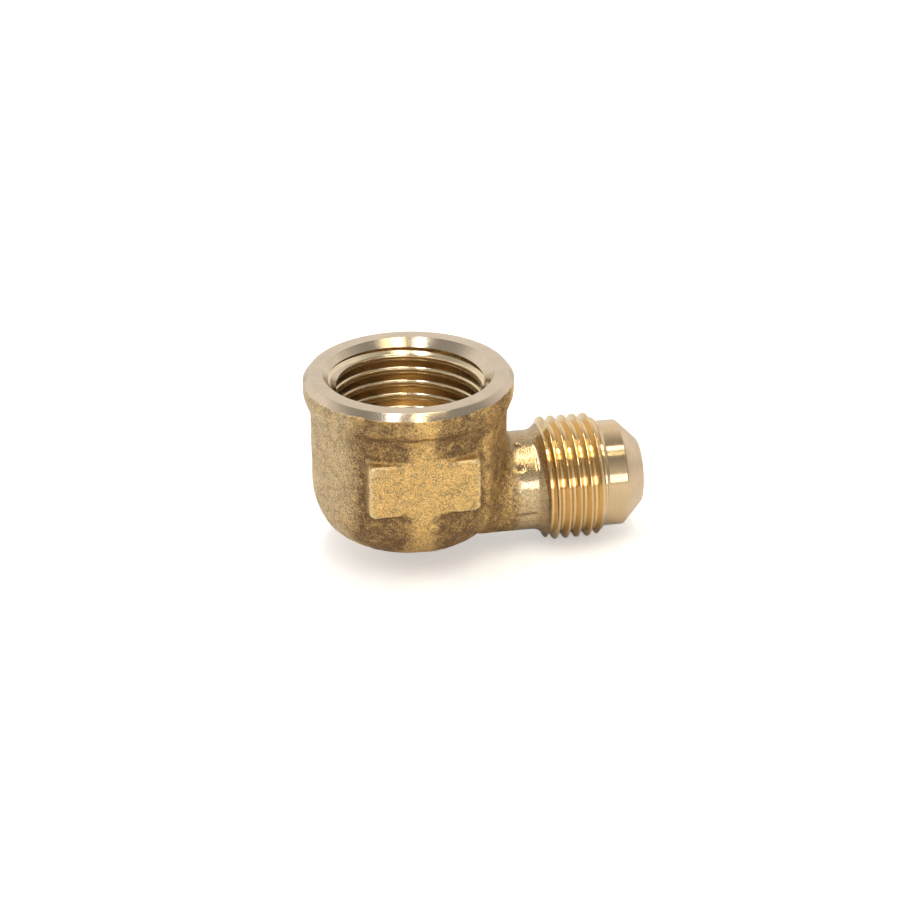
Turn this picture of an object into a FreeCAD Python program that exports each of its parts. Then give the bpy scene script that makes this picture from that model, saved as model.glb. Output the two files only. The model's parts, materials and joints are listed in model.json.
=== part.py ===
import FreeCAD, Part
import math
import os

# One-piece brass elbow that joins a flared 3/8 in tube to a 1/2 in tapered pipe thread.
# Frame: the origin is where the two port axes cross, +Z points out of the pipe port and
# +X out of the flare port. Lengths are millimetres, angles are degrees.

# Forged barrel around the pipe port
BARREL_RADIUS = 12.35
RECESS_RADIUS = 11.9
RECESS_HALF_WIDTH = 7.8
COLLAR_RADIUS = 13.2
COLLAR_UNDERSIDE_Z = 13.3
COLLAR_UNDERSIDE_DROP = 1.4
RECESS_TOP_Z = 13.6
RECESS_TOP_DROP = 1.3
COLLAR_EDGE_ROUND = 0.5
DOME_BOTTOM_Z = -6.5
DOME_RADIUS = 20.2
BARREL_BOTTOM_ROUND = 3.2

# Wrench pads, one on each side of the barrel
PAD_HALF_WIDTH = 6.95
PAD_BOTTOM_Z = 2.3
PAD_TOP_Z = 9.1
PAD_FACE_Y = 11.78
PAD_CORNER_ROUND = 0.8
PAD_RIM_ROUND = 0.35

# Machined mouth of the pipe port
FACE_Z = 16.45
FACE_OUTER_RADIUS = 12.55
FACE_CHAMFER_HEIGHT = 0.8
COUNTERSINK_RADIUS = 10.75

# 1/2-14 NPT internal thread, cut in a drilled hole that is reamed to the thread's taper.
# Its last turn fades out, and that fade laps over the full groove by a small angle.
PIPE_PITCH = 25.4 / 14
PIPE_TAPER_PER_RADIUS = 1 / 32
PIPE_MINOR_RADIUS_AT_FACE = 9.16
PIPE_THREAD_DEPTH = 1.38
PIPE_ROOT_FLAT = 0.06
PIPE_CREST_BELOW_FACE = 0.29
PIPE_CREST_ANGLE = 80.0
PIPE_FULL_TURNS = 6
PIPE_FADE_TURNS = 1.25
PIPE_FADE_OVERLAP = 10.0
DRILL_RADIUS = 8.73
DRILL_WALL_END_Z = -1.0
DRILL_FLOOR_Z = -3.6
DRILL_FLOOR_RADIUS = 5.0

# Neck and forged shoulder of the flare port
NECK_RADIUS = 6.38
NECK_END_X = 15.2
SHOULDER_ROUND = 1.8

# 5/8-18 UNF external thread
FLARE_PITCH = 25.4 / 18
FLARE_MAJOR_RADIUS = 7.9
FLARE_ROOT_RADIUS = 7.07
FLARE_ROOT_FLAT = 0.27
FLARE_CREST_X = 18.516
FLARE_TURNS_BEFORE_CREST = 2.5
FLARE_THREAD_END_X = 23.3

# 45 degree flare seat and flow bore
NOSE_RADIUS = 6.75
NOSE_END_X = 26.93
SEAT_ANGLE = 45.0
SEAT_END_RADIUS = 4.15
SEAT_END_X = NOSE_END_X + (NOSE_RADIUS - SEAT_END_RADIUS) / math.tan(math.radians(SEAT_ANGLE))
FLOW_RADIUS = 3.57
FLOW_CHAMFER = 0.2

THREAD_ANGLE = 60.0

# How far a cutter reaches past the metal, how far a thread cutter does, and the closest
# match asked for when edges are picked by their place or length
OVERRUN = 1.0
LIP = 0.3
MATCH = 1e-4

X_AXIS = FreeCAD.Vector(1, 0, 0)
Z_AXIS = FreeCAD.Vector(0, 0, 1)
ORIGIN = FreeCAD.Vector(0, 0, 0)


def on_z(radius, z):
    """A point of a profile that turns about Z."""
    return FreeCAD.Vector(radius, 0, z)


def on_x(x, radius):
    """A point of a profile that turns about X."""
    return FreeCAD.Vector(x, 0, radius)


def turned(points, axis):
    """The solid that a closed polygon sweeps in a full turn about an axis."""
    face = Part.Face(Part.makePolygon(points + points[:1]))
    return face.revolve(ORIGIN, axis, 360)


def forged_blank(radius, underside_z, underside_drop):
    """A domed barrel of one radius, with the collar on top and a rounded bottom edge."""
    round_centre_r = radius - BARREL_BOTTOM_ROUND
    dome_centre_z = DOME_BOTTOM_Z + DOME_RADIUS
    centre_distance = DOME_RADIUS - BARREL_BOTTOM_ROUND
    round_centre_z = dome_centre_z - math.sqrt(centre_distance**2 - round_centre_r**2)
    meet = math.asin(round_centre_r / centre_distance)

    def on_dome(angle):
        return on_z(DOME_RADIUS * math.sin(angle), dome_centre_z - DOME_RADIUS * math.cos(angle))

    def on_round(angle):
        return on_z(
            round_centre_r + BARREL_BOTTOM_ROUND * math.sin(angle),
            round_centre_z - BARREL_BOTTOM_ROUND * math.cos(angle),
        )

    side_start = on_round(math.pi / 2)
    rest = [
        side_start,
        on_z(radius, underside_z - underside_drop),
        on_z(COLLAR_RADIUS, underside_z),
        on_z(COLLAR_RADIUS, FACE_Z - FACE_CHAMFER_HEIGHT),
        on_z(FACE_OUTER_RADIUS, FACE_Z),
        on_z(0, FACE_Z),
        on_z(0, DOME_BOTTOM_Z),
    ]
    edges = [
        Part.Arc(on_dome(0), on_dome(meet / 2), on_dome(meet)).toShape(),
        Part.Arc(on_round(meet), on_round((meet + math.pi / 2) / 2), side_start).toShape(),
    ]
    edges += [Part.makeLine(a, b) for a, b in zip(rest, rest[1:])]
    blank = Part.Face(Part.Wire(edges)).revolve(ORIGIN, Z_AXIS, 360)
    soft_rings = (
        (radius, underside_z - underside_drop),
        (COLLAR_RADIUS, underside_z),
    )
    rings = [e for r, z in soft_rings for e in circles_at(blank, r, z)]
    return blank.makeFillet(COLLAR_EDGE_ROUND, rings)


def circles_at(shape, radius, z):
    """The edges of a turned shape that are circles about Z at one radius and height."""
    found = []
    for edge in shape.Edges:
        if edge.Degenerated or not isinstance(edge.Curve, Part.Circle):
            continue
        if abs(edge.Curve.Radius - radius) < MATCH and abs(edge.Curve.Center.z - z) < MATCH:
            found.append(edge)
    return found


def wrench_pads():
    """One block whose two ends are the flat pads on the barrel's sides."""
    corner = FreeCAD.Vector(-PAD_HALF_WIDTH, -PAD_FACE_Y, PAD_BOTTOM_Z)
    block = Part.makeBox(
        2 * PAD_HALF_WIDTH, 2 * PAD_FACE_Y, PAD_TOP_Z - PAD_BOTTOM_Z, corner
    )
    long_edges = [e for e in block.Edges if abs(e.Length - 2 * PAD_FACE_Y) < MATCH]
    block = block.makeFillet(PAD_CORNER_ROUND, long_edges)
    rims = [e for e in block.Edges if abs(abs(e.CenterOfMass.y) - PAD_FACE_Y) < MATCH]
    return block.makeFillet(PAD_RIM_ROUND, rims)


def forged_barrel():
    """The barrel with its shallow recesses and wrench pads."""
    cheeks = forged_blank(BARREL_RADIUS, COLLAR_UNDERSIDE_Z, COLLAR_UNDERSIDE_DROP)
    waist = forged_blank(RECESS_RADIUS, RECESS_TOP_Z, RECESS_TOP_DROP)
    slot_corner = FreeCAD.Vector(
        -RECESS_HALF_WIDTH, -2 * BARREL_RADIUS, DOME_BOTTOM_Z - OVERRUN
    )
    slot_height = RECESS_TOP_Z + COLLAR_EDGE_ROUND - slot_corner.z
    slot = Part.makeBox(2 * RECESS_HALF_WIDTH, 4 * BARREL_RADIUS, slot_height, slot_corner)
    return waist.fuse([cheeks.cut(slot), wrench_pads()])


def flare_end():
    """The neck, shoulder, thread blank, nose and 45 degree seat, turned about X."""
    rise = FLARE_MAJOR_RADIUS - NECK_RADIUS
    sweep = math.acos(1 - rise / SHOULDER_ROUND)

    def on_shoulder(angle):
        return on_x(
            NECK_END_X + SHOULDER_ROUND * math.sin(angle),
            NECK_RADIUS + SHOULDER_ROUND * (1 - math.cos(angle)),
        )

    thread_chamfer = FLARE_MAJOR_RADIUS - NOSE_RADIUS
    corners = [
        on_shoulder(sweep),
        on_x(FLARE_THREAD_END_X, FLARE_MAJOR_RADIUS),
        on_x(FLARE_THREAD_END_X + thread_chamfer, NOSE_RADIUS),
        on_x(NOSE_END_X, NOSE_RADIUS),
        on_x(SEAT_END_X, SEAT_END_RADIUS),
        on_x(SEAT_END_X, 0),
        on_x(0, 0),
        on_x(0, NECK_RADIUS),
        on_shoulder(0),
    ]
    shoulder = Part.Arc(on_shoulder(0), on_shoulder(sweep / 2), on_shoulder(sweep))
    edges = [shoulder.toBSpline().toShape()]
    edges += [Part.makeLine(a, b) for a, b in zip(corners, corners[1:])]
    return Part.Face(Part.Wire(edges)).revolve(ORIGIN, X_AXIS, 360)


def groove(path, root, outward, root_flat, depth):
    """A V groove swept along a helix, with straight lips that reach past the crests.

    root is the middle of the profile at full depth, where the path starts.
    """
    half_root = root_flat / 2
    half_mouth = half_root + depth * math.tan(math.radians(THREAD_ANGLE / 2))
    half_widths = ((0, half_root), (depth, half_mouth), (depth + LIP, half_mouth))
    upper = [root - outward * d + Z_AXIS * w for d, w in half_widths]
    lower = [root - outward * d - Z_AXIS * w for d, w in half_widths]
    corners = upper + lower[::-1]
    sweep = Part.BRepOffsetAPI.MakePipeShell(path)
    sweep.setBiNormalMode(Z_AXIS)
    sweep.add(Part.makePolygon(corners + corners[:1]))
    sweep.build()
    sweep.makeSolid()
    return sweep.shape()


def pipe_thread():
    """The tapered internal groove: full turns up to the mouth, and a fade below them."""
    crest_z = FACE_Z - PIPE_CREST_BELOW_FACE - PIPE_PITCH * PIPE_CREST_ANGLE / 360
    start_z = crest_z - PIPE_PITCH * (PIPE_FULL_TURNS - 0.5)
    root_radius = PIPE_MINOR_RADIUS_AT_FACE + PIPE_THREAD_DEPTH
    start_radius = root_radius - (FACE_Z - start_z) * PIPE_TAPER_PER_RADIUS
    taper = math.degrees(math.atan(PIPE_TAPER_PER_RADIUS))
    full = Part.makeLongHelix(PIPE_PITCH, FACE_Z + PIPE_PITCH - start_z, start_radius, taper)
    full_groove = groove(
        full, on_z(start_radius, 0), X_AXIS, PIPE_ROOT_FLAT, PIPE_THREAD_DEPTH
    )
    full_groove.translate(Z_AXIS * start_z)

    fade_height = PIPE_FADE_TURNS * PIPE_PITCH
    fade_depth = PIPE_THREAD_DEPTH + LIP
    fade_radius = start_radius - fade_depth
    fade_taper = math.degrees(math.atan(fade_depth / fade_height))
    fade = Part.makeLongHelix(PIPE_PITCH, fade_height, fade_radius, fade_taper)
    fade_groove = groove(
        fade, on_z(fade_radius, 0), X_AXIS, PIPE_ROOT_FLAT, PIPE_THREAD_DEPTH
    )
    overlap = PIPE_FADE_OVERLAP / 360
    fade_groove.rotate(ORIGIN, Z_AXIS, 360 * (overlap - PIPE_FADE_TURNS))
    fade_groove.translate(Z_AXIS * (start_z - fade_height + overlap * PIPE_PITCH))
    return [full_groove, fade_groove]


def flare_thread():
    """The straight external groove, from the shoulder to past the thread chamfer."""
    start_x = FLARE_CREST_X - FLARE_PITCH * FLARE_TURNS_BEFORE_CREST
    length = FLARE_THREAD_END_X + 2 * FLARE_PITCH - start_x
    helix = Part.makeHelix(FLARE_PITCH, length, FLARE_ROOT_RADIUS)
    depth = FLARE_MAJOR_RADIUS - FLARE_ROOT_RADIUS
    cutter = groove(helix, on_z(FLARE_ROOT_RADIUS, 0), -X_AXIS, FLARE_ROOT_FLAT, depth)
    cutter.rotate(ORIGIN, FreeCAD.Vector(1, 1, 1), 120)
    cutter.translate(X_AXIS * start_x)
    return cutter


def pipe_cavity():
    """Countersink, reamed taper, drilled hole and its coned floor."""
    mouth_depth = (COUNTERSINK_RADIUS - PIPE_MINOR_RADIUS_AT_FACE) / (1 - PIPE_TAPER_PER_RADIUS)
    mouth_radius = COUNTERSINK_RADIUS - mouth_depth
    ream_depth = (PIPE_MINOR_RADIUS_AT_FACE - DRILL_RADIUS) / PIPE_TAPER_PER_RADIUS
    return turned(
        [
            on_z(0, FACE_Z + OVERRUN),
            on_z(COUNTERSINK_RADIUS + OVERRUN, FACE_Z + OVERRUN),
            on_z(mouth_radius, FACE_Z - mouth_depth),
            on_z(DRILL_RADIUS, FACE_Z - ream_depth),
            on_z(DRILL_RADIUS, DRILL_WALL_END_Z),
            on_z(DRILL_FLOOR_RADIUS, DRILL_FLOOR_Z),
            on_z(0, DRILL_FLOOR_Z),
        ],
        Z_AXIS,
    )


def flow_bore():
    """The bore through the flare seat, which starts well inside the pipe cavity."""
    start_x = DRILL_FLOOR_RADIUS / 2
    return turned(
        [
            on_x(start_x, 0),
            on_x(start_x, FLOW_RADIUS),
            on_x(SEAT_END_X - FLOW_CHAMFER, FLOW_RADIUS),
            on_x(SEAT_END_X + OVERRUN, FLOW_RADIUS + FLOW_CHAMFER + OVERRUN),
            on_x(SEAT_END_X + OVERRUN, 0),
        ],
        X_AXIS,
    )


body = forged_barrel().fuse(flare_end())
body = body.cut([pipe_cavity(), flow_bore()])
for thread in [flare_thread()] + pipe_thread():
    body = body.cut(thread)

os.makedirs("parts", exist_ok=True)
body.Solids[0].exportStep("parts/elbow_body.step")
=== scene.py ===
import itertools
import json
import math

import bpy
import numpy as np
import openvdb
from mathutils import Matrix, Vector


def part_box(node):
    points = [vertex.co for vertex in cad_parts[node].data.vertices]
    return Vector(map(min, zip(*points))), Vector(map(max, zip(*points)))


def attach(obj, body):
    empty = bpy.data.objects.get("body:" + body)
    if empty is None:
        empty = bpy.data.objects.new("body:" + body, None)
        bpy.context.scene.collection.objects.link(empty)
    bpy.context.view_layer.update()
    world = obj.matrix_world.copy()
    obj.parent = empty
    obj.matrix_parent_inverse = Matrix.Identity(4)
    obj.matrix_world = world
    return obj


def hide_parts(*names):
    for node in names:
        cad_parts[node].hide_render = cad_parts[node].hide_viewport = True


# A one-piece brass elbow: a forging with a tumbled skin, machined at both ports.
# The pipe port opens along +Z and the flare port along +X. Lengths are millimetres here,
# and turn into metres when a mesh is made.

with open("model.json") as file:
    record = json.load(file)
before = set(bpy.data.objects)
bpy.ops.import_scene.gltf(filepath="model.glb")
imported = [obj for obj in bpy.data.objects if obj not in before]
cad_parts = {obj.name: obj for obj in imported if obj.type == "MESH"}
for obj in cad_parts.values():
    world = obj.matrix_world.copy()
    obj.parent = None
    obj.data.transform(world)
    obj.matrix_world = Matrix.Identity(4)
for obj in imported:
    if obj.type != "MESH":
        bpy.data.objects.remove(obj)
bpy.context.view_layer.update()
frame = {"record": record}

MM = 0.001
NODE = "elbow_body"
mounts = {mount["name"]: mount for mount in frame["record"]["mounts"]}
lowest, highest = (np.array(corner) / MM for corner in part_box(NODE))

# Sizes that the frame gives
FACE_Z = highest[2]
COLLAR_RADIUS = -lowest[0]
SEAT_END_X = highest[0]
THREAD_RADIUS = mounts["flare_thread"]["dims"]["r_mm"]
NOSE_RADIUS = mounts["flare_nose"]["dims"]["r_mm"]
FLOW_RADIUS = mounts["flow_bore"]["dims"]["r_mm"]
DRILL_RADIUS = mounts["pipe_thread"]["dims"]["r_mm"]
PAD_FACE_Y = mounts["wrench_pad_back"]["pos_m"][1] / MM

# Forged barrel
CHEEK_RADIUS = 12.35
WAIST_RADIUS = 11.9
WAIST_EDGE_X = (7.3, 8.7)
COLLAR_UNDERSIDE_Z = 13.4
COLLAR_UNDERSIDE_DROP = 1.3
COLLAR_EDGE_ROUND = 0.5
COLLAR_FILLET = 0.55
DOME_BOTTOM_Z = -6.5
DOME_RADIUS = 20.2
BOTTOM_ROUND = 3.2

# Wrench pads, drafted as forgings are
PAD_HALF_WIDTH = 6.95
PAD_Z = (2.15, 9.15)
PAD_CORNER_ROUND = 0.8
PAD_RIM_ROUND = 0.3
PAD_DRAFT = math.tan(math.radians(5))

# Neck and shoulder
NECK_RADIUS = 6.38
SHOULDER_X = 17.0
SHOULDER_ROUND = 1.8
STUB_RADIUS = THREAD_RADIUS + 0.06
STUB_END_X = 18.2
NECK_MARKS_X = 13.3

# Machined pipe port
FACE_OUTER_RADIUS = 12.55
FACE_CHAMFER_SLOPE = 0.8 / 0.65
COUNTERSINK_RADIUS = 10.75
PIPE_PITCH = 25.4 / 14
PIPE_TAPER = 1 / 32
PIPE_CREST_RADIUS = 9.16
PIPE_DEPTH = 1.0
PIPE_ROOT_FLAT = 0.06
PIPE_CREST_ROUND = 0.4
PIPE_CREST_Z = FACE_Z - 0.29
PIPE_CREST_TURN = 80 / 360
PIPE_TURNS = 5.5
PIPE_FADE = 1.25
DRILL_END_Z = -1.0
DRILL_FLOOR_Z = -3.6
DRILL_FLOOR_RADIUS = 5.0

# Machined flare port
TRIM_START_X = 16.95
FLARE_PITCH = 25.4 / 18
FLARE_ROOT_RADIUS = 7.07
FLARE_ROOT_FLAT = 0.27
FLARE_CREST_ROUND = 0.08
FLARE_CREST_X = 18.516
FLARE_TURNS_BEFORE_CREST = 2.5
FLARE_FADE = 0.35
THREAD_END_X = 23.3
SEAT_END_RADIUS = 4.15
NOSE_END_X = SEAT_END_X - (NOSE_RADIUS - SEAT_END_RADIUS)
FLOW_CHAMFER = 0.25

# Both grooves: the slope of their sides, and where a rounded lip stops turning and runs on
FLANK = math.radians(30)
LIP_END = math.radians(76)
LIP_OVERLAP = 0.004
GROOVE_OVERLAP = 0.3

# Fineness of the meshes
CELL = 0.22
LATHE_SEGMENTS = 288
THREAD_SEGMENTS = 120
SHARP_EDGE = math.radians(27)


def smooth_step(values, low, high):
    """0 below low, 1 above high, and an even curve between them."""
    t = np.clip((values - low) / (high - low), 0, 1)
    return t * t * (3 - 2 * t)


def band(values, rise, fall):
    """1 between two smooth ramps, and 0 outside them."""
    return smooth_step(values, *rise) * (1 - smooth_step(values, *fall))


# ---------------------------------------------------------------- forging as a field


def join(a, b, fillet):
    """Distance to two solids together, with a fillet where they meet."""
    corner = np.hypot(np.maximum(fillet - a, 0), np.maximum(fillet - b, 0))
    return np.maximum(fillet, np.minimum(a, b)) - corner


def common(a, b, edge_round):
    """Distance to what two solids share, with their common edge rounded."""
    corner = np.hypot(np.maximum(edge_round + a, 0), np.maximum(edge_round + b, 0))
    return np.minimum(-edge_round, np.maximum(a, b)) + corner


def barrel(x, y, z):
    """The domed barrel, narrower at its waist, with the collar round its mouth."""
    radius = np.hypot(x, y)
    waist = 1 - smooth_step(np.abs(x), *WAIST_EDGE_X)
    side = radius - (CHEEK_RADIUS - (CHEEK_RADIUS - WAIST_RADIUS) * waist)
    dome_centre_z = DOME_BOTTOM_Z + DOME_RADIUS
    dome = np.sqrt(radius**2 + (z - dome_centre_z) ** 2) - DOME_RADIUS
    body = common(side, dome, BOTTOM_ROUND)

    rise = COLLAR_UNDERSIDE_DROP / (COLLAR_RADIUS - CHEEK_RADIUS + 0.4 * waist)
    underside_z = COLLAR_UNDERSIDE_Z - rise * (COLLAR_RADIUS - radius)
    underside = (underside_z - z) / np.sqrt(1 + rise**2)
    collar = common(radius - COLLAR_RADIUS, underside, COLLAR_EDGE_ROUND)
    return join(body, collar, COLLAR_FILLET)


def wrench_pads(x, y, z):
    """A drafted block whose two ends are the flat pads."""
    draft = PAD_DRAFT * (PAD_FACE_Y - np.abs(y))
    middle, half_height = sum(PAD_Z) / 2, (PAD_Z[1] - PAD_Z[0]) / 2
    across = np.abs(x) - (PAD_HALF_WIDTH + draft - PAD_CORNER_ROUND)
    up = np.abs(z - middle) - (half_height + draft - PAD_CORNER_ROUND)
    outside = np.hypot(np.maximum(across, 0), np.maximum(up, 0))
    outline = outside + np.minimum(np.maximum(across, up), 0) - PAD_CORNER_ROUND
    return common(outline, np.abs(y) - PAD_FACE_Y, PAD_RIM_ROUND)


def neck(x, y, z):
    """The neck of the flare port, its shoulder and a stub for the machined end."""
    radius = np.hypot(y, z)
    shoulder = common(SHOULDER_X - x, radius - STUB_RADIUS, 0.1)
    return np.maximum(join(radius - NECK_RADIUS, shoulder, SHOULDER_ROUND), -x)


def forging(x, y, z):
    """Distance to the raw forging, before it is machined."""
    pad_fillet = 0.08 + 0.3 * smooth_step(np.abs(x), 3, 6)
    body = join(barrel(x, y, z), wrench_pads(x, y, z), pad_fillet)
    neck_fillet = 0.1 + 1.0 * smooth_step(x, 7, 10)
    body = join(body, neck(x, y, z), neck_fillet)
    ends = np.maximum(x - STUB_END_X, z - (FACE_Z + 1))
    return np.maximum(body, ends)


def slope(points):
    """The field's value and its gradient at each point."""
    step = 0.01
    gradient = np.empty_like(points)
    for axis in range(3):
        ahead, behind = points.copy(), points.copy()
        ahead[:, axis] += step
        behind[:, axis] -= step
        gradient[:, axis] = (forging(*ahead.T) - forging(*behind.T)) / (2 * step)
    return forging(*points.T), gradient


def noise(points, size, seed):
    """Smooth random values from -1 to 1 in space, with lumps of one size."""
    place = points / size + seed * 17.3
    cell = np.floor(place).astype(np.int64)
    blend = place - cell
    blend = blend**3 * (blend * (blend * 6 - 15) + 10)
    total = np.zeros(len(points))
    for corner in itertools.product((0, 1), repeat=3):
        key = (cell + corner) @ np.array([374761393, 668265263, 1274126177])
        key = (key ^ (key >> 13)) * 1103515245 & 0xFFFFFFFF
        key = (key ^ (key >> 15)) * 2654435761 & 0xFFFFFFFF
        value = ((key ^ (key >> 13)) & 0xFFFF) / 0xFFFF
        weight = np.prod(np.where(corner, blend, 1 - blend), axis=1)
        total += weight * value
    return 2 * total - 1


def turned_about(points, angle):
    """Points turned about a slanting line, so that no noise lines up with the axes."""
    return points @ np.array(Matrix.Rotation(angle, 3, Vector((1, 2, 3))))


def on_neck(x, angle):
    """A point on the neck's skin; the angle runs from the front, -Y, up towards +Z."""
    turn = math.radians(angle)
    return np.array([x, -NECK_RADIUS * math.cos(turn), NECK_RADIUS * math.sin(turn)])


NECK_PITS = ((on_neck(NECK_MARKS_X, 70), 0.55), (on_neck(NECK_MARKS_X, 39), 0.6))
NECK_FOLD = (on_neck(NECK_MARKS_X - 1, -19), on_neck(NECK_MARKS_X + 1.8, -17))


def neck_marks(points):
    """Two small pits and a fold on the front of the neck, from 0 to 1."""
    marks = np.zeros(len(points))
    for centre, size in NECK_PITS:
        away = np.linalg.norm(points - centre, axis=1)
        marks = np.maximum(marks, 1 - smooth_step(away, 0.3 * size, size))
    start, end = NECK_FOLD
    along = np.clip((points - start) @ (end - start) / np.sum((end - start) ** 2), 0, 1)
    nearest = start + along[:, None] * (end - start)
    away = np.linalg.norm(points - nearest, axis=1)
    return np.maximum(marks, 0.7 * (1 - smooth_step(away, 0.1, 0.4)))


def skin_relief(points):
    """How far the forged skin stands out or in: dents, flow lumps, grain and marks."""
    relief = np.zeros(len(points))
    for seed, (size, height) in enumerate(((6, 0.06), (2.4, 0.04), (1.1, 0.03), (0.5, 0.03))):
        relief += height * noise(turned_about(points, 0.7 * (seed + 1)), size, seed)
    pits = noise(turned_about(points, 0.4), 0.8, 9)
    relief -= 0.07 * smooth_step(pits, 0.5, 0.9)
    return relief * (1 - 0.88 * polish(points)) - 0.13 * neck_marks(points)


def forged_mesh():
    """The forging's skin as points and quads."""
    low = np.array([-COLLAR_RADIUS - 1, -COLLAR_RADIUS - 1, DOME_BOTTOM_Z - 2])
    high = np.array([STUB_END_X + 1, COLLAR_RADIUS + 1, FACE_Z + 2])
    low[2] = min(low[2], -STUB_RADIUS - 1)
    axes = [np.arange(a, b, CELL) for a, b in zip(low, high)]
    x, y, z = np.meshgrid(*axes, indexing="ij", sparse=True)
    reach = 3 * CELL
    grid = openvdb.FloatGrid(reach)
    grid.copyFromArray(np.clip(forging(x, y, z), -reach, reach).astype(np.float32))
    points, _, quads = grid.convertToPolygons(isovalue=0)
    points = points.astype(float) * CELL + low
    for _ in range(3):
        value, gradient = slope(points)
        length = np.maximum(np.sum(gradient**2, axis=1), 0.25)
        points -= gradient * (value / length)[:, None]
    _, gradient = slope(points)
    normal = gradient / np.linalg.norm(gradient, axis=1)[:, None]
    points += normal * skin_relief(points)[:, None]
    return points, quads


# ---------------------------------------------------------------- machined surfaces


def softened(profile, edge_round=0.12, steps=3):
    """A profile with each corner replaced by a short curve, where there is room."""
    points = [np.array(point, float) for point in profile]
    result = []
    for i, corner in enumerate(points):
        before, after = points[i - 1], points[(i + 1) % len(points)]
        on_axis = corner[0] <= 0
        room = min(np.linalg.norm(before - corner), np.linalg.norm(after - corner)) / 3
        if on_axis:
            result.append(corner)
            continue
        size = min(edge_round, room)
        start = corner + (before - corner) / np.linalg.norm(before - corner) * size
        end = corner + (after - corner) / np.linalg.norm(after - corner) * size
        for t in np.linspace(0, 1, steps + 1):
            result.append((1 - t) ** 2 * start + 2 * t * (1 - t) * corner + t**2 * end)
    return result


def place_on_axis(radius, along, angle, axis):
    """Points at a radius and height about Z, or about X when axis is "x"."""
    across, up = radius * np.cos(angle), radius * np.sin(angle)
    if axis == "z":
        return np.stack([across, up, along], axis=-1)
    return np.stack([along, across, up], axis=-1)


def lathe(profile, axis):
    """A closed mesh turned from a closed profile of (radius, along) points."""
    angles = np.arange(LATHE_SEGMENTS) * 2 * math.pi / LATHE_SEGMENTS
    points, rings = [], []
    for radius, along in profile:
        start = len(points)
        if radius <= 0:
            points.append(place_on_axis(0.0, along, 0.0, axis))
            rings.append([start] * LATHE_SEGMENTS)
        else:
            for angle in angles:
                points.append(place_on_axis(radius, along, angle, axis))
            rings.append(list(range(start, start + LATHE_SEGMENTS)))
    faces = []
    for ring, following in zip(rings, rings[1:] + rings[:1]):
        for i in range(LATHE_SEGMENTS):
            j = (i + 1) % LATHE_SEGMENTS
            corners = [ring[i], ring[j], following[j], following[i]]
            face = list(dict.fromkeys(corners))
            if len(face) > 2:
                faces.append(face)
    return np.array(points), faces


def groove_side(root_flat, depth, crest_round):
    """One side of a V groove from its root up, as (height, half width), with its lip rounded."""
    half_root = root_flat / 2
    centre_height = depth - crest_round
    centre_width = half_root + centre_height * math.tan(FLANK) + crest_round / math.cos(FLANK)
    arc = []
    for turn in np.linspace(FLANK, LIP_END, 5):
        height = centre_height + crest_round * math.sin(turn)
        arc.append((height, centre_width - crest_round * math.cos(turn)))
    straight = [(f * arc[0][0], half_root + (arc[0][1] - half_root) * f) for f in (0, 0.06, 0.9)]
    height, width = arc[-1]
    top = depth + LIP_OVERLAP
    width += (top - height) * math.tan(LIP_END)
    return straight + arc + [(top, width), (depth + GROOVE_OVERLAP, width)]


def helix_groove(path, section, outward, axis):
    """A closed V groove along a helix.

    path holds (turn, radius, along) for the middle of the root; outward is 1 when the
    root is the outermost part of the groove, and -1 when it is the innermost.
    """
    section = section + [(d, -w) for d, w in section[::-1]]
    points = []
    for turn, radius, along in path:
        angle = 2 * math.pi * turn
        for inset, offset in section:
            points.append(place_on_axis(radius - outward * inset, along + offset, angle, axis))
    size = len(section)
    faces = [list(range(size)), list(range(len(points) - size, len(points)))[::-1]]
    for row in range(len(path) - 1):
        for i in range(size):
            j = (i + 1) % size
            base = row * size
            faces.append([base + i, base + size + i, base + size + j, base + j])
    return np.array(points), faces


def pipe_groove():
    """The tapered groove inside the pipe port, which fades out at its bottom."""
    root_at_face = PIPE_CREST_RADIUS + PIPE_DEPTH
    crest_z = PIPE_CREST_Z - PIPE_PITCH * PIPE_CREST_TURN
    start_z = crest_z - PIPE_PITCH * (PIPE_TURNS + PIPE_FADE)
    turns = (FACE_Z + PIPE_PITCH - start_z) / PIPE_PITCH
    path = []
    for turn in np.arange(0, turns, 1 / THREAD_SEGMENTS):
        z = start_z + turn * PIPE_PITCH
        fade = max(0, 1 - turn / PIPE_FADE) * (PIPE_DEPTH + 0.2)
        path.append((turn - PIPE_FADE, root_at_face - (FACE_Z - z) * PIPE_TAPER - fade, z))
    section = groove_side(PIPE_ROOT_FLAT, PIPE_DEPTH, PIPE_CREST_ROUND)
    return helix_groove(path, section, 1, "z")


def flare_groove():
    """The straight groove round the flare port, which fades in at the shoulder."""
    depth = THREAD_RADIUS - FLARE_ROOT_RADIUS
    start_x = FLARE_CREST_X - FLARE_PITCH * FLARE_TURNS_BEFORE_CREST
    turns = (THREAD_END_X + 2 * FLARE_PITCH - start_x) / FLARE_PITCH
    path = []
    for turn in np.arange(0, turns, 1 / THREAD_SEGMENTS):
        fade = max(0, 1 - turn / FLARE_FADE) * depth
        path.append((turn, FLARE_ROOT_RADIUS + fade, start_x + turn * FLARE_PITCH))
    section = groove_side(FLARE_ROOT_FLAT, depth, FLARE_CREST_ROUND)
    return helix_groove(path, section, -1, "x")


def port_trim():
    """What the lathe takes off outside the pipe port: above the face and its chamfer."""
    outside = COLLAR_RADIUS + 2
    chamfer_end_z = FACE_Z - FACE_CHAMFER_SLOPE * (outside - FACE_OUTER_RADIUS)
    top = FACE_Z + 3
    profile = [(0, FACE_Z), (FACE_OUTER_RADIUS, FACE_Z), (outside, chamfer_end_z)]
    return lathe(softened(profile + [(outside, top), (0, top)]), "z")


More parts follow.
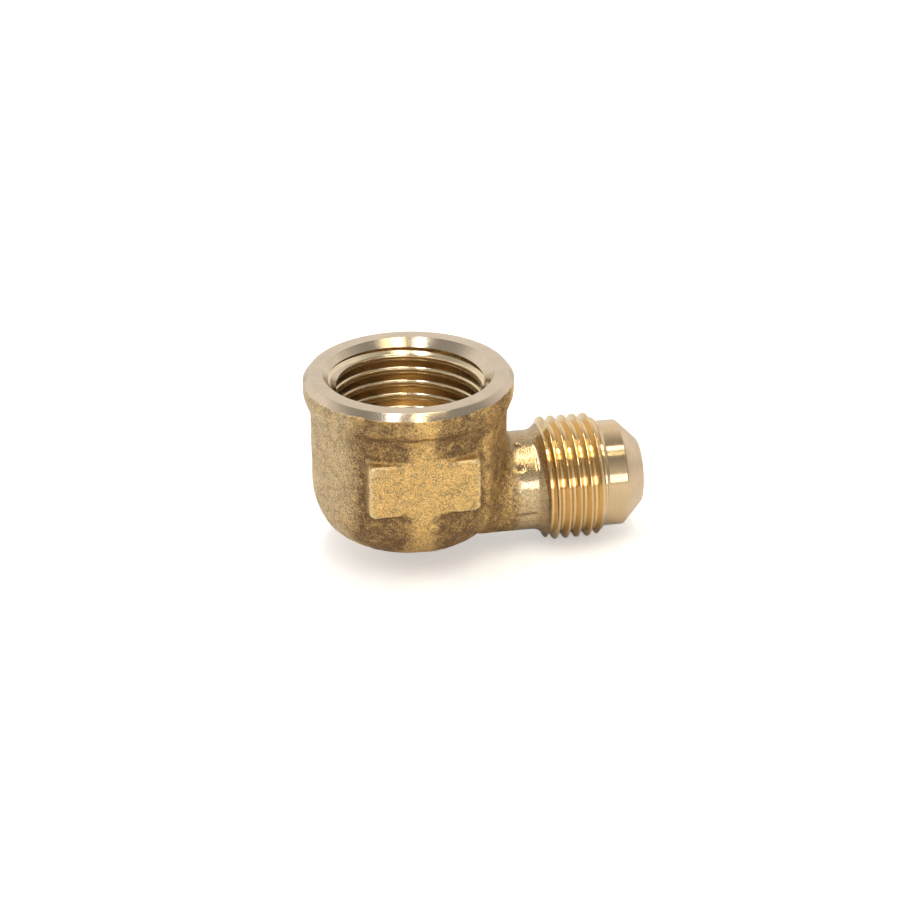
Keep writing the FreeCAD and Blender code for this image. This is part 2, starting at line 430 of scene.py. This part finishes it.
def port_cavity():
    """Countersink, reamed taper, drilled wall and drilled floor."""
    mouth_depth = (COUNTERSINK_RADIUS - PIPE_CREST_RADIUS) / (1 - PIPE_TAPER)
    ream_depth = (PIPE_CREST_RADIUS - DRILL_RADIUS) / PIPE_TAPER
    top = FACE_Z + 2
    profile = [
        (0, top),
        (COUNTERSINK_RADIUS + 2, top),
        (COUNTERSINK_RADIUS - mouth_depth, FACE_Z - mouth_depth),
        (DRILL_RADIUS, FACE_Z - ream_depth),
        (DRILL_RADIUS, DRILL_END_Z),
        (DRILL_FLOOR_RADIUS, DRILL_FLOOR_Z),
        (0, DRILL_FLOOR_Z),
    ]
    return lathe(profile, "z")


def flare_end():
    """The metal of the flare port past the shoulder: thread blank, nose and seat."""
    chamfer = THREAD_RADIUS - NOSE_RADIUS
    profile = [
        (0, TRIM_START_X - 4),
        (NECK_RADIUS - 1, TRIM_START_X - 4),
        (NECK_RADIUS - 1, TRIM_START_X - 0.2),
        (THREAD_RADIUS, TRIM_START_X),
        (THREAD_RADIUS, THREAD_END_X),
        (NOSE_RADIUS, THREAD_END_X + chamfer),
        (NOSE_RADIUS, NOSE_END_X),
        (SEAT_END_RADIUS, SEAT_END_X),
        (0, SEAT_END_X),
    ]
    return lathe(softened(profile), "x")


def flare_trim():
    """What the lathe takes off the forged stub: everything past the shoulder."""
    outside = COLLAR_RADIUS
    profile = [
        (0, TRIM_START_X + 0.3),
        (THREAD_RADIUS - 0.4, TRIM_START_X + 0.3),
        (THREAD_RADIUS, TRIM_START_X),
        (outside, TRIM_START_X),
        (outside, STUB_END_X + 3),
        (0, STUB_END_X + 3),
    ]
    return lathe(profile, "x")


def flow_bore():
    """The bore through the seat, with a small chamfer at its mouth."""
    start_x = DRILL_FLOOR_RADIUS / 2
    profile = [
        (0, start_x),
        (FLOW_RADIUS, start_x),
        (FLOW_RADIUS, SEAT_END_X - FLOW_CHAMFER),
        (FLOW_RADIUS + FLOW_CHAMFER + 1, SEAT_END_X + 1),
        (0, SEAT_END_X + 1),
    ]
    return lathe(profile, "x")


# ---------------------------------------------------------------- meshes and booleans


def piece(name, points, faces, material):
    """A mesh object in metres, whose faces point outwards."""
    mesh = bpy.data.meshes.new(name)
    mesh.from_pydata((points * MM).tolist(), [], [list(face) for face in faces])
    mesh.materials.append(material)
    mesh.update()
    made = bpy.data.objects.new(name, mesh)
    bpy.context.scene.collection.objects.link(made)
    if signed_volume(mesh) < 0:
        mesh.flip_normals()
    return made


def triangles(mesh):
    """The corners of a mesh's triangles as three arrays of points."""
    mesh.calc_loop_triangles()
    corners = np.zeros(len(mesh.loop_triangles) * 3, np.int32)
    mesh.loop_triangles.foreach_get("vertices", corners)
    return [vertices(mesh)[corners[i::3]] for i in range(3)]


def vertices(mesh):
    """The mesh's points as an array."""
    flat = np.zeros(len(mesh.vertices) * 3, np.float32)
    mesh.vertices.foreach_get("co", flat)
    return flat.reshape(-1, 3).astype(float)


def signed_volume(mesh):
    """The volume inside a closed mesh, negative when its faces point inwards."""
    a, b, c = triangles(mesh)
    return float(np.sum(a * np.cross(b, c))) / 6


def combine(target, other, operation):
    """Joins another closed mesh to the target, or cuts it out, and removes the other."""
    before = signed_volume(target.data)
    change = target.modifiers.new(operation, "BOOLEAN")
    change.operation = operation
    change.object = other
    change.solver = "MANIFOLD"
    change.material_mode = "TRANSFER"
    depsgraph = bpy.context.evaluated_depsgraph_get()
    mesh = bpy.data.meshes.new_from_object(target.evaluated_get(depsgraph))
    target.modifiers.clear()
    target.data = mesh
    bpy.data.objects.remove(other)
    after = signed_volume(mesh)
    if abs(after - before) < 1e-12:
        raise RuntimeError(f"{operation} changed nothing")
    return target


def crisp_chamfers(mesh):
    """Keeps the edge crisp where a thread runs out in a chamfer of nearly the same slope."""
    edge_of_corner = np.zeros(len(mesh.loops), np.int32)
    mesh.loops.foreach_get("edge_index", edge_of_corner)
    materials = np.zeros(len(mesh.polygons), np.int32)
    mesh.polygons.foreach_get("material_index", materials)
    corners = np.zeros(len(mesh.polygons), np.int32)
    mesh.polygons.foreach_get("loop_total", corners)
    material_of_corner = np.repeat(materials, corners)
    lowest = np.full(len(mesh.edges), len(mesh.materials))
    highest = np.zeros(len(mesh.edges), int)
    np.minimum.at(lowest, edge_of_corner, material_of_corner)
    np.maximum.at(highest, edge_of_corner, material_of_corner)
    ends = np.zeros(len(mesh.edges) * 2, np.int32)
    mesh.edges.foreach_get("vertices", ends)
    middle = vertices(mesh)[ends].reshape(-1, 2, 3).mean(axis=1) / MM
    countersink_foot = FACE_Z - (COUNTERSINK_RADIUS - PIPE_CREST_RADIUS) / (1 - PIPE_TAPER)
    on_chamfer = (middle[:, 2] > countersink_foot) | (middle[:, 0] > THREAD_END_X)
    sharp = np.zeros(len(mesh.edges), bool)
    mesh.attributes["sharp_edge"].data.foreach_get("value", sharp)
    sharp |= (lowest != highest) & on_chamfer
    mesh.attributes["sharp_edge"].data.foreach_set("value", sharp)


# ---------------------------------------------------------------- skin masks

# How dark the skin is made in each place, from 0 to 1: patina in the hollows beside the pads,
# painted shade at the pads' feet, on the right cheek and underneath, and darker at the neck's root,
# shoulder and top
HOLLOW_DARK = 0.72
PAD_FOOT_PAINTED_SHADE = 0.6
RIGHT_CHEEK_PAINTED_SHADE = 0.52
UNDERSIDE_PAINTED_SHADE = 0.5
SHOULDER_DARK = 0.45
NECK_ROOT_DARK = 0.4
NECK_TOP_DARK = 0.4

# How far a point stands out from its neighbours, in millimetres, where the lighter proud edge
# starts and is full (partly rubbed bright, partly painted highlight), and how far it lies in where
# a hollow does
WEAR_AND_HIGHLIGHT_BEND = (0.004, 0.028)
HOLLOW_BEND = (0.004, 0.025)


def patina(points):
    """How dark the skin is made, from 0 to 1: patina in the hollows that tumbling misses, painted
    shade under the collar, at the pads' feet, on the right cheek and underneath, darker at the
    neck's root, shoulder and top, and the neck's pits and fold.
    """
    ragged = 0.9 * noise(turned_about(points, 1.1), 2.2, 21) + 0.5 * noise(points, 0.9, 22)
    x, y, z = points.T
    across, side = np.abs(x + 0.3) + 0.5 * ragged, smooth_step(np.abs(y), 5.5, 7.5)
    column = band(across, (0.6, 2.5), (6.9, 10.2))
    height = z + 0.6 * ragged
    pocket = band(height, (-5.6, -3.4), (12.6, 13.6))
    pocket = pocket + 0.85 * band(height, (12.8, 13.6), (15.4, 16.4))
    pad_width = 1 - smooth_step(np.abs(x), PAD_HALF_WIDTH - 0.1, PAD_HALF_WIDTH + 0.3)
    pad_height = band(z, (PAD_Z[0] - 0.2, PAD_Z[0] + 0.2), (PAD_Z[1] + 0.2, PAD_Z[1] + 0.6))
    beside = 1 - 0.25 * band(z, (PAD_Z[0], PAD_Z[0] + 2), (PAD_Z[1] - 2, PAD_Z[1]))
    dark = HOLLOW_DARK * side * column * pocket * beside * (1 - pad_width * pad_height)
    radius = np.hypot(x, y)
    # Painted shade under the collar's overhang.
    painted_shade_under_collar = band(height, (12.1, 12.9), (13.2, 13.8)) * (1 - smooth_step(radius, 12.5, 13.0))
    about_x = np.hypot(y, z)
    # Painted shade on the right cheek, beside the neck.
    painted_shade_right_cheek = RIGHT_CHEEK_PAINTED_SHADE * band(x + 0.6 * ragged, (7.5, 9.5), (11.2, 12.4))
    root = NECK_ROOT_DARK * band(x, (11.0, 11.8), (12.6, 13.6))
    root = root * (1 - smooth_step(about_x, 6.8, 8.5))
    shoulder = SHOULDER_DARK * band(x, (15.0, 15.8), (17.2, 17.6))
    shoulder = shoulder * (1 - smooth_step(about_x, 8.0, 8.2))
    # Darker over the top of the neck, which dims the lamps' reflection there.
    neck_top = NECK_TOP_DARK * band(x, (12.2, 13.0), (16.6, 17.4))
    neck_top = neck_top * smooth_step(height, 2.6, 4.0) * (1 - smooth_step(about_x, 7.2, 8.2))
    # Painted shade on the underside, near the middle of the bottom.
    painted_shade_underside = UNDERSIDE_PAINTED_SHADE * (1 - smooth_step(z, -6.3, -4.8)) * (1 - smooth_step(radius, 8, 11))
    # Painted shade along the feet of the pads.
    beyond_pad = band(np.abs(x), (PAD_HALF_WIDTH, PAD_HALF_WIDTH + 0.25), (7.8, 8.6))
    painted_shade_at_pad_foot = PAD_FOOT_PAINTED_SHADE * beyond_pad * side * band(z, (PAD_Z[0] - 0.4, PAD_Z[0] + 0.2), (9.0, 9.6))
    masks = [dark, painted_shade_under_collar * (0.5 + 0.4 * side), painted_shade_at_pad_foot, painted_shade_right_cheek]
    masks += [root, shoulder, neck_top, painted_shade_underside]
    return np.maximum(np.max(masks, axis=0), neck_marks(points))


def paleness(points):
    """Where the skin is tan and not golden, from 0 to 1: on the back cheek and the neck."""
    ragged = noise(turned_about(points, 0.3), 3.0, 31)
    x, z = points[:, 0], points[:, 2]
    cheek = smooth_step(-x + 1.3 * ragged, 5.2, 10.8)
    return np.maximum(cheek, smooth_step(x + ragged, 10.8, 14) * (1 - smooth_step(z, 6.5, 9.5)))


def polish(points):
    """Where the skin is smoother, from 0 to 1: round the neck, which tumbling rubs most."""
    return smooth_step(points[:, 0], 12.2, 13.4)


def bend(mesh):
    """How far each point stands out from the points round it, smoothed, in millimetres."""
    points = vertices(mesh) / MM
    ends = np.zeros(len(mesh.edges) * 2, np.int32)
    mesh.edges.foreach_get("vertices", ends)
    first, second = ends[::2], ends[1::2]
    normals = np.zeros(len(points) * 3, np.float32)
    mesh.vertices.foreach_get("normal", normals)
    normals = normals.reshape(-1, 3)
    count = np.bincount(ends, minlength=len(points))

    def average(values):
        total = np.zeros_like(values)
        np.add.at(total, first, values[second])
        np.add.at(total, second, values[first])
        return total / (count[:, None] if values.ndim > 1 else count)

    proud = np.sum((points - average(points)) * normals, axis=1)
    for _ in range(3):
        proud = average(proud)
    return proud


def store(mesh, name, values):
    """Keeps one number for each point of the mesh, for its material to read."""
    attribute = mesh.attributes.new(name, "FLOAT", "POINT")
    attribute.data.foreach_set("value", np.asarray(values, np.float32))


# ---------------------------------------------------------------- materials

# Heights of the bumps in the materials: two sizes of grain, and tool marks
GRAIN_HEIGHT = 0.09
SPECK_HEIGHT = 0.05
RING_HEIGHT = 0.006


class Nodes:
    """Adds nodes to a node tree and links them by socket name."""

    def __init__(self, tree):
        self.tree = tree

    def add(self, kind, inputs=None, **settings):
        node = self.tree.nodes.new(kind)
        for name, value in settings.items():
            setattr(node, name, value)
        for name, value in (inputs or {}).items():
            if isinstance(value, bpy.types.NodeSocket):
                self.tree.links.new(value, node.inputs[name])
            else:
                node.inputs[name].default_value = value
        return node

    def maths(self, operation, *values, clamp=False):
        inputs = dict(enumerate(values))
        return self.add("ShaderNodeMath", inputs, operation=operation, use_clamp=clamp).outputs[0]

    def noise(self, place, scale, detail=2.0, roughness=0.5):
        inputs = {"Vector": place, "Scale": scale, "Detail": detail, "Roughness": roughness}
        return self.add("ShaderNodeTexNoise", inputs).outputs["Fac"]

    def ramp(self, value, low, high, low_to=0.0, high_to=1.0):
        inputs = {"Value": value, "From Min": low, "From Max": high}
        inputs.update({"To Min": low_to, "To Max": high_to})
        return self.add("ShaderNodeMapRange", inputs).outputs["Result"]

    def blend(self, amount, a, b):
        node = self.add("ShaderNodeMix", {"Factor": amount}, data_type="RGBA")
        for socket, value in ((node.inputs[6], a), (node.inputs[7], b)):
            if isinstance(value, bpy.types.NodeSocket):
                self.tree.links.new(value, socket)
            else:
                socket.default_value = (*value, 1)
        return node.outputs[2]

    def millimetres(self):
        place = self.add("ShaderNodeTexCoord").outputs["Object"]
        return self.add("ShaderNodeMapping", {"Vector": place, "Scale": (1 / MM,) * 3}).outputs[0]

    def value_at(self, name):
        return self.add("ShaderNodeAttribute", attribute_name=name).outputs["Fac"]


def new_material(name):
    """An empty material with its Principled shader."""
    material = bpy.data.materials.new(name)
    material.use_nodes = True
    material.node_tree.nodes.clear()
    nodes = Nodes(material.node_tree)
    shader = nodes.add("ShaderNodeBsdfPrincipled", {"Metallic": 1.0})
    nodes.add("ShaderNodeOutputMaterial", {"Surface": shader.outputs[0]})
    return material, nodes, shader


def connect(nodes, shader, **sockets):
    """Links values to the shader's sockets, whose names have _ for a space."""
    for name, value in sockets.items():
        nodes.tree.links.new(value, shader.inputs[name.replace("_", " ")])


def forged_skin():
    """Tumbled forging skin: golden and lighter on proud edges, partly rubbed bright and partly a
    painted highlight; brown with patina in hollows and with painted shade in places; and grainy.
    """
    material, nodes, shader = new_material("forged_skin")
    place = nodes.millimetres()
    cloud = nodes.noise(place, 0.35, 3, 0.6)
    patch = nodes.noise(place, 1.1, 3, 0.6)
    grain = nodes.noise(place, 4.2, 2, 0.7)
    speck = nodes.noise(place, 7.5, 1, 0.5)

    uneven = nodes.maths("MULTIPLY_ADD", cloud, 0.8, -0.4)
    uneven = nodes.maths("ADD", uneven, nodes.maths("MULTIPLY_ADD", patch, 1.3, -0.65))
    uneven = nodes.maths("ADD", uneven, nodes.maths("MULTIPLY_ADD", grain, 1.9, -0.95))
    polished = nodes.value_at("polish")
    tarnish = nodes.maths("MULTIPLY_ADD", polished, -0.1, 0.12)
    # Patina, and painted shade in some places, set how dark the skin is.
    dark = nodes.maths("ADD", nodes.value_at("patina"), tarnish)
    calm = nodes.maths("MULTIPLY_ADD", polished, -0.8, 1.05)
    dark = nodes.maths("MULTIPLY_ADD", uneven, calm, dark)
    dark = nodes.maths("MULTIPLY_ADD", nodes.value_at("hollow"), 0.6, dark)
    # Proud edges are less dark: partly rubbed bright by tumbling, partly a painted highlight on the
    # rims.
    dark = nodes.maths("MULTIPLY_ADD", nodes.value_at("wear"), -0.4, dark, clamp=True)

    patchy = nodes.ramp(patch, 0.3, 0.7, -0.3, 0.4)
    tan = nodes.maths("ADD", nodes.value_at("paleness"), patchy, clamp=True)
    clean = nodes.blend(tan, CLEAN_SKIN, TAN_SKIN)
    clean = nodes.blend(nodes.ramp(speck, 0.5, 0.7, 0, 0.6), clean, BRIGHT_SKIN)
    # Proud edges are lighter: partly rubbed bright by tumbling, partly a painted highlight on the
    # rims.
    clean = nodes.blend(nodes.maths("MULTIPLY", nodes.value_at("wear"), 0.85), clean, BRIGHT_SKIN)
    colour = nodes.blend(dark, clean, DARK_SKIN)
    colour = nodes.blend(nodes.ramp(speck, 0.5, 0.34, 0, 0.62), colour, DARK_SKIN)
    rough = nodes.maths("MULTIPLY_ADD", dark, 0.2, nodes.ramp(grain, 0.3, 0.7, 0.34, 0.5))
    rough = nodes.maths("MULTIPLY_ADD", polished, -0.3, rough)
    strength = nodes.maths("MULTIPLY_ADD", polished, -0.9, 1.0)
    coarse_bump = {"Height": grain, "Strength": strength, "Distance": GRAIN_HEIGHT * MM}
    fine_bump = {"Height": speck, "Strength": strength, "Distance": SPECK_HEIGHT * MM}
    bump = nodes.add("ShaderNodeBump", coarse_bump)
    bump = nodes.add("ShaderNodeBump", {**fine_bump, "Normal": bump.outputs[0]})
    metal = nodes.maths("MULTIPLY_ADD", dark, -0.25, 1.0)
    connect(nodes, shader, Base_Color=colour, Roughness=rough)
    connect(nodes, shader, Normal=bump.outputs[0], Metallic=metal)
    return material


def turned_brass(name, axis, colour, roughness, anisotropic=0.3):
    """Machined brass whose fine tool marks run round one axis."""
    material, nodes, shader = new_material(name)
    place = nodes.millimetres()
    parts = list(nodes.add("ShaderNodeSeparateXYZ", {"Vector": place}).outputs)
    along = parts.pop("XYZ".index(axis))
    squares = nodes.maths("ADD", *(nodes.maths("MULTIPLY", part, part) for part in parts))
    radius = nodes.maths("SQRT", squares)
    rings = nodes.add("ShaderNodeCombineXYZ", {"X": radius, "Y": along}).outputs[0]
    fine = nodes.noise(rings, 9.0, 4, 0.8)
    broad = nodes.noise(rings, 1.6, 2, 0.5)
    smudge = nodes.noise(place, 0.45, 4, 0.6)
    tint = nodes.blend(nodes.ramp(smudge, 0.35, 0.7, 0, 0.6), colour, [0.82 * c for c in colour])
    shade = nodes.blend(nodes.ramp(fine, 0.3, 0.7, 0, 0.5), tint, [0.7 * c for c in colour])
    rough = nodes.maths("ADD", nodes.ramp(smudge, 0.3, 0.7, -0.04, 0.05), roughness)
    rough = nodes.maths("ADD", nodes.ramp(broad, 0.3, 0.7, -0.03, 0.03), rough)
    tool_marks = {"Height": fine, "Strength": 0.7, "Distance": RING_HEIGHT * MM}
    bump = nodes.add("ShaderNodeBump", tool_marks)
    connect(nodes, shader, Base_Color=shade, Roughness=rough, Normal=bump.outputs[0])
    tangent = nodes.add("ShaderNodeTangent", direction_type="RADIAL", axis=axis)
    connect(nodes, shader, Tangent=tangent.outputs[0])
    shader.inputs["Anisotropic"].default_value = anisotropic
    return material


# Reflected colours of brass: clean skin, tan skin, bright specks and proud edges (partly a painted
# highlight), patina and painted shade, and each cut surface
CLEAN_SKIN = (0.88, 0.56, 0.19)
TAN_SKIN = (0.70, 0.54, 0.33)
BRIGHT_SKIN = (1.0, 0.82, 0.50)
DARK_SKIN = (0.20, 0.118, 0.055)
FACE_BRASS = (0.71, 0.59, 0.45)
NOSE_BRASS = (0.80, 0.60, 0.37)
SEAT_BRASS = (0.80, 0.62, 0.43)
PORT_BRASS = (0.84, 0.69, 0.47)
THREAD_BRASS = (0.90, 0.68, 0.38)
DRILLED_BRASS = (0.72, 0.54, 0.31)

SKIN = forged_skin()
FACE = turned_brass("turned_pipe_port", "Z", FACE_BRASS, 0.18, anisotropic=0.1)
NOSE = turned_brass("turned_flare_port", "X", NOSE_BRASS, 0.12)
SEAT = turned_brass("turned_flare_seat", "X", SEAT_BRASS, 0.30)
PIPE_THREAD = turned_brass("cut_pipe_thread", "Z", PORT_BRASS, 0.17)
FLARE_THREAD = turned_brass("cut_flare_thread", "X", THREAD_BRASS, 0.11)
DRILLED = turned_brass("drilled_hole", "Z", DRILLED_BRASS, 0.34)
DRILLED_FLOW = turned_brass("drilled_flow_bore", "X", DRILLED_BRASS, 0.34)


def elbow():
    """The whole fitting as one closed mesh."""
    body = piece("elbow_visual", *forged_mesh(), SKIN)
    cuts = [
        ("flare_trim", flare_trim(), NOSE, "DIFFERENCE"),
        ("flare_end", flare_end(), NOSE, "UNION"),
        ("port_trim", port_trim(), FACE, "DIFFERENCE"),
        ("port_cavity", port_cavity(), FACE, "DIFFERENCE"),
        ("flow_bore", flow_bore(), DRILLED_FLOW, "DIFFERENCE"),
        ("pipe_groove", pipe_groove(), PIPE_THREAD, "DIFFERENCE"),
        ("flare_groove", flare_groove(), FLARE_THREAD, "DIFFERENCE"),
    ]
    for name, shape, material, operation in cuts:
        combine(body, piece(name, *shape, material), operation)
    mesh = body.data
    mesh.polygons.foreach_set("use_smooth", [True] * len(mesh.polygons))
    mesh.set_sharp_from_angle(angle=SHARP_EDGE)
    crisp_chamfers(mesh)
    for material in (DRILLED, SEAT):
        mesh.materials.append(material)
    # The drilled wall and floor, and the flare seat, take materials of their own
    slots = {material.name: i for i, material in enumerate(mesh.materials)}
    for polygon in mesh.polygons:
        centre = polygon.center / MM
        inside = math.hypot(centre.x, centre.y) < PIPE_CREST_RADIUS + 0.01
        if polygon.material_index == slots[FACE.name] and inside and centre.z < FACE_Z - 1:
            polygon.material_index = slots[DRILLED.name]
        if polygon.material_index == slots[NOSE.name] and centre.x > NOSE_END_X + 0.05:
            polygon.material_index = slots[SEAT.name]
    for mask in (patina, paleness, polish):
        store(mesh, mask.__name__, mask(vertices(mesh) / MM))
    proud = bend(mesh)
    store(mesh, "wear", smooth_step(proud, *WEAR_AND_HIGHLIGHT_BEND))
    store(mesh, "hollow", smooth_step(-proud, *HOLLOW_BEND))
    return body


# ---------------------------------------------------------------- floor, light and camera

# The view onto the object: its direction, and where the picture's middle lies beside the
# crossing of the two port axes, in metres
VIEW_AZIMUTH = math.radians(-10.03)
VIEW_ELEVATION = math.radians(25.66)
VIEW_ROLL = math.radians(-0.52)
VIEW_DISTANCE = 0.4
VIEW_OFFSET = (0.00487, 0.0052)
LENS = 126.3
VIEW_TURN = Matrix.Rotation(VIEW_AZIMUTH, 3, "Z")


def view_frame():
    """The camera's right, up and back directions."""
    azimuth, elevation = VIEW_AZIMUTH, VIEW_ELEVATION
    flat = math.cos(elevation)
    back = Vector((math.sin(azimuth) * flat, -math.cos(azimuth) * flat, math.sin(elevation)))
    right = Vector((math.cos(azimuth), math.sin(azimuth), 0))
    turn = Matrix.Rotation(VIEW_ROLL, 3, back)
    return turn @ right, turn @ back.cross(right), back


def camera():
    """The camera at the viewing angle."""
    right, up, back = view_frame()
    data = bpy.data.cameras.new("camera")
    data.lens = LENS
    made = bpy.data.objects.new("camera", data)
    bpy.context.scene.collection.objects.link(made)
    place = Matrix((right, up, back)).transposed().to_4x4()
    place.translation = back * VIEW_DISTANCE + right * VIEW_OFFSET[0] + up * VIEW_OFFSET[1]
    made.matrix_world = place
    data.clip_start, data.clip_end = 0.01, 10
    bpy.context.scene.camera = made


# The floor's reflectance, and how much it is lifted for the camera: near and far, and the
# distances from the fitting, in metres, between which that changes
FLOOR_GREY = 0.82
FLOOR_GLOW = (0.42, 0.85)
FLOOR_GLOW_REACH = (0.08, 0.5)


def floor():
    """A plain pale floor that the fitting rests on, lifted to near white for the camera."""
    half, z = 3.0, lowest[2] * MM
    mesh = bpy.data.meshes.new("floor")
    corners = [(-half, -half, z), (half, -half, z), (half, half, z), (-half, half, z)]
    mesh.from_pydata(corners, [], [(0, 1, 2, 3)])
    material = bpy.data.materials.new("floor")
    material.use_nodes = True
    material.node_tree.nodes.clear()
    nodes = Nodes(material.node_tree)
    matt = nodes.add("ShaderNodeBsdfDiffuse", {"Color": (FLOOR_GREY,) * 3 + (1,)})
    seen = nodes.add("ShaderNodeLightPath").outputs["Is Camera Ray"]
    place = nodes.add("ShaderNodeTexCoord").outputs["Object"]
    away = nodes.add("ShaderNodeVectorMath", {0: place}, operation="LENGTH").outputs["Value"]
    lift = nodes.maths("MULTIPLY", seen, nodes.ramp(away, *FLOOR_GLOW_REACH, *FLOOR_GLOW))
    glow = nodes.add("ShaderNodeEmission", {"Strength": lift})
    both = nodes.add("ShaderNodeAddShader", {0: matt.outputs[0], 1: glow.outputs[0]})
    nodes.add("ShaderNodeOutputMaterial", {"Surface": both.outputs[0]})
    mesh.materials.append(material)
    made = bpy.data.objects.new("floor", mesh)
    bpy.context.scene.collection.objects.link(made)


# Two strip lamps over the pipe port, two bars over the flare port and a low lamp in front:
# name, centre in metres, direction of the longer side, size in metres, radiance and colour
LAMPS = [
    ("strip_left", (-0.085, -0.12, 0.5), (0.19, 1, 0), (0.035, 0.62), 14, (1, 1, 1)),
    ("strip_right", (0.072, -0.12, 0.5), (-0.09, 1, 0), (0.03, 0.62), 14, (1, 0.88, 0.6)),
    ("bar_right", (0.15, -0.065, 0.5), (1, 0, 0), (0.09, 0.14), 3.5, (1, 1, 1)),
    ("bar_right_warm", (0.17, -0.19, 0.5), (1, 0, 0), (0.07, 0.14), 3.2, (1, 0.88, 0.55)),
    ("low_front", (0.235, -0.68, 0.15), (1, 0, 0), (0.20, 0.40), 2.3, (1, 1, 1)),
]

# How bright the tent is: its walls, and what is added at the back, the left and the right
TENT = 0.66
TENT_BACK = 0.32
TENT_LEFT = 0.15
TENT_RIGHT = -0.35


def lamp(name, centre, towards, size, radiance, colour):
    """A rectangular lamp facing the fitting, whose longer side runs towards a direction."""
    place = VIEW_TURN @ Vector(centre)
    back = place.normalized()
    along = (VIEW_TURN @ Vector(towards)).cross(back).normalized()
    data = bpy.data.lights.new(name, "AREA")
    data.shape = "RECTANGLE"
    data.size, data.size_y = size
    data.energy = radiance * size[0] * size[1] * math.pi
    data.color = colour
    made = bpy.data.objects.new(name, data)
    bpy.context.scene.collection.objects.link(made)
    axes = Matrix((along, back.cross(along), back)).transposed()
    made.matrix_world = Matrix.Translation(place) @ axes.to_4x4()


def studio():
    """A pale tent with a dim ceiling, and the lamps."""
    world = bpy.data.worlds.new("studio")
    bpy.context.scene.world = world
    world.use_nodes = True
    world.node_tree.nodes.clear()
    nodes = Nodes(world.node_tree)
    direction = nodes.add("ShaderNodeTexCoord").outputs["Generated"]
    x, y, z = nodes.add("ShaderNodeSeparateXYZ", {"Vector": direction}).outputs
    back = nodes.ramp(y, -0.3, 0.35, 0, TENT_BACK)
    left = nodes.ramp(x, -0.3, -0.8, 0, TENT_LEFT)
    right = nodes.ramp(x, 0.35, 0.8, 0, TENT_RIGHT)
    right = nodes.maths("MULTIPLY", right, nodes.ramp(y, 0.4, -0.1))
    wall = nodes.maths("ADD", nodes.maths("ADD", back, left), nodes.maths("ADD", right, TENT))
    height = nodes.maths("MULTIPLY_ADD", y, -0.2, nodes.maths("MULTIPLY_ADD", x, -0.2, z))
    ceiling = nodes.ramp(height, 0.55, 0.85, 1, 0.45)
    strength = nodes.maths("MULTIPLY", wall, ceiling)
    tent = nodes.add("ShaderNodeBackground", {"Color": (1, 0.97, 0.92, 1), "Strength": strength})
    plain = nodes.add("ShaderNodeBackground", {"Color": (1, 1, 1, 1), "Strength": 1.0})
    seen = nodes.add("ShaderNodeLightPath").outputs["Is Camera Ray"]
    mixed = nodes.add("ShaderNodeMixShader", {0: seen, 1: tent.outputs[0], 2: plain.outputs[0]})
    nodes.add("ShaderNodeOutputWorld", {"Surface": mixed.outputs[0]})
    for name, centre, towards, size, radiance, colour in LAMPS:
        lamp(name, centre, towards, size, radiance, colour)


bpy.context.scene.view_settings.view_transform = "Standard"
fitting = elbow()
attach(fitting, "root")
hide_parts(NODE)
floor()
studio()
camera()
